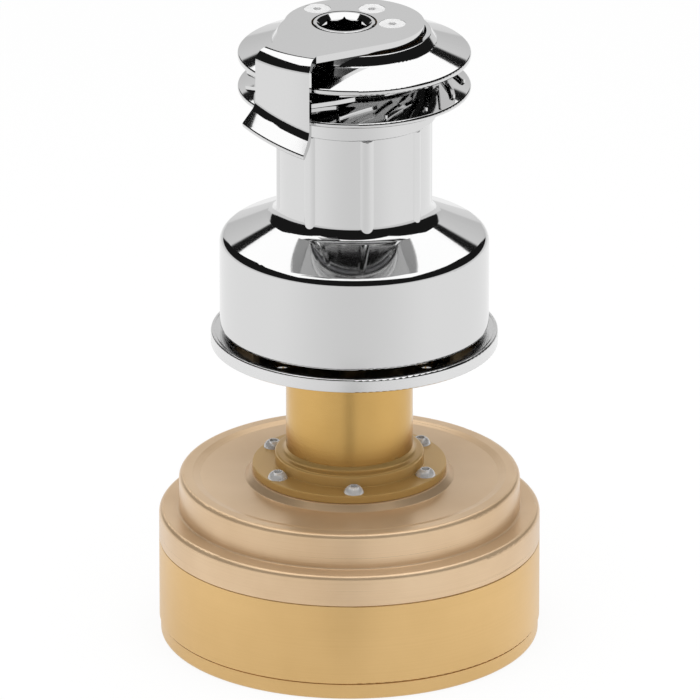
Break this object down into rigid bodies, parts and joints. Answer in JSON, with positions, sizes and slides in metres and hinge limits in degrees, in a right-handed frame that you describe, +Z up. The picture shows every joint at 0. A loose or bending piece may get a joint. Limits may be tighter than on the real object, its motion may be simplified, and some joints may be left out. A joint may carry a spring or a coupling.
{
  "type": "electric sailboat winch",
  "caption": "Electric self-tailing sailboat winch: polished drum, ribbed self-tailing jaws and feeder arm above the deck, bronze motor and gearbox unit on a tube below it.",
  "frame": {"origin": "centre of the drive unit's flat bottom, on its own upright axis", "axes": "+Z up along the winch; -Y is the side that the picture shows, +X to its right; the cable entry points along +Y"},
  "size_m": [0.1944, 0.2135, 0.3303],
  "materials": {
    "polished_stainless": "mirror-polished stainless steel",
    "bronze_satin": "satin bronze-anodised casting",
    "bronze_tube": "satin golden bronze-anodised tube",
    "stainless_screws": "plain stainless screws",
    "gear_bronze": "machined aluminium bronze",
    "gear_steel": "machined steel",
    "stem_bronze": "cast bronze, machined seats",
    "cage_polymer": "moulded acetal",
    "stator_steel": "laminated electrical steel",
    "magnet": "nickel-plated magnets",
    "copper_wire": "enamelled copper wire",
    "plate_aluminium": "turned aluminium",
    "seal_rubber": "nitrile rubber",
    "gland_polymer": "black polyamide"
  },
  "bodies": {
    "base": {"bottom_cover": "bronze_satin", "motor_housing": "bronze_satin", "gearbox_cap": "bronze_satin", "housing_bolts": "stainless_screws", "cable_gland": "gland_polymer", "stator_core": "stator_steel", "stator_windings": "copper_wire", "bearing_plate": "plate_aluminium", "bearing_outer_races": "gear_steel", "planet_ring_gear": "gear_steel", "shaft_seal": "seal_rubber", "stand_tube": "bronze_tube", "tube_flange": "bronze_tube", "stand_tube_screws": "stainless_screws", "tube_top_screws": "stainless_screws", "deck_flange": "polished_stainless", "stem": "stem_bronze", "stem_screws": "stainless_screws", "thrust_washer": "stem_bronze", "stem_head": "gear_bronze", "spindle_bush_lower": "stem_bronze", "spindle_bush_upper": "stem_bronze", "idler_pin": "gear_steel", "feeder_arm": "polished_stainless", "feeder_arm_screws": "stainless_screws", "stripper_blade": "polished_stainless"},
    "drum": {"drum": "polished_stainless", "drum_ring_gear": "gear_bronze", "ring_gear_screws": "stainless_screws", "upper_jaw": "polished_stainless", "upper_jaw_screws": "stainless_screws", "jaw_wave_spring": "gear_steel"},
    "lower_jaw": {"lower_jaw": "polished_stainless"},
    "roller_cages": {"lower_rollers": "gear_steel", "lower_roller_cage": "cage_polymer", "upper_rollers": "gear_steel", "upper_roller_cage": "cage_polymer"},
    "spindle": {"spindle": "polished_stainless", "spindle_pinion": "gear_steel", "drive_coupling": "gear_steel", "planet_carrier": "gear_steel", "planet_pins": "gear_steel", "output_inner_race": "gear_steel", "output_bearing_balls": "gear_steel"},
    "idler": {"idler_gear": "gear_steel", "idler_pinion": "gear_steel"},
    "rotor": {"motor_shaft": "gear_steel", "rotor_core": "stator_steel", "rotor_magnets": "magnet", "sun_gear": "gear_steel", "motor_inner_races": "gear_steel", "motor_bearing_balls": "gear_steel"},
    "planet_1": {"planet_gear_1": "gear_steel"},
    "planet_2": {"planet_gear_2": "gear_steel"},
    "planet_3": {"planet_gear_3": "gear_steel"}
  },
  "joints": [
    {"name": "drum_spin", "type": "hinge", "parent": "base", "child": "drum", "pos_m": [0.0025, 0, 0.24], "axis": [0, 0, 1], "continuous": true},
    {"name": "roller_cage_spin", "type": "hinge", "parent": "base", "child": "roller_cages", "pos_m": [0.0025, 0, 0.24], "axis": [0, 0, 1], "continuous": true},
    {"name": "spindle_spin", "type": "hinge", "parent": "base", "child": "spindle", "pos_m": [-0.0026, 0, 0.24], "axis": [0, 0, 1], "continuous": true},
    {"name": "idler_spin", "type": "hinge", "parent": "base", "child": "idler", "pos_m": [-0.00005, 0.03791, 0.18], "axis": [0, 0, 1], "continuous": true},
    {"name": "rotor_spin", "type": "hinge", "parent": "base", "child": "rotor", "pos_m": [-0.0026, 0, 0.03], "axis": [0, 0, 1], "continuous": true},
    {"name": "planet_1_spin", "type": "hinge", "parent": "spindle", "child": "planet_1", "pos_m": [0.0334, 0, 0.06], "axis": [0, 0, 1], "continuous": true},
    {"name": "planet_2_spin", "type": "hinge", "parent": "spindle", "child": "planet_2", "pos_m": [-0.0206, 0.03118, 0.06], "axis": [0, 0, 1], "continuous": true},
    {"name": "planet_3_spin", "type": "hinge", "parent": "spindle", "child": "planet_3", "pos_m": [-0.0206, -0.03118, 0.06], "axis": [0, 0, 1], "continuous": true},
    {"name": "jaw_slide", "type": "slide", "parent": "drum", "child": "lower_jaw", "axis": [0, 0, 1], "range_m": [-0.004, 0], "stiffness_N_per_m": 15000, "springref_m": 0.004, "deforming": ["jaw_wave_spring"]}
  ],
  "couplings": [
    {"joint": "roller_cage_spin", "follows": "drum_spin", "ratio": 0.54386},
    {"joint": "spindle_spin", "follows": "drum_spin", "ratio": -5.7292},
    {"joint": "idler_spin", "follows": "drum_spin", "ratio": 4.1667},
    {"joint": "rotor_spin", "follows": "drum_spin", "ratio": -22.917},
    {"joint": "planet_1_spin", "follows": "drum_spin", "ratio": 17.188},
    {"joint": "planet_2_spin", "follows": "drum_spin", "ratio": 17.188},
    {"joint": "planet_3_spin", "follows": "drum_spin", "ratio": 17.188}
  ]
}
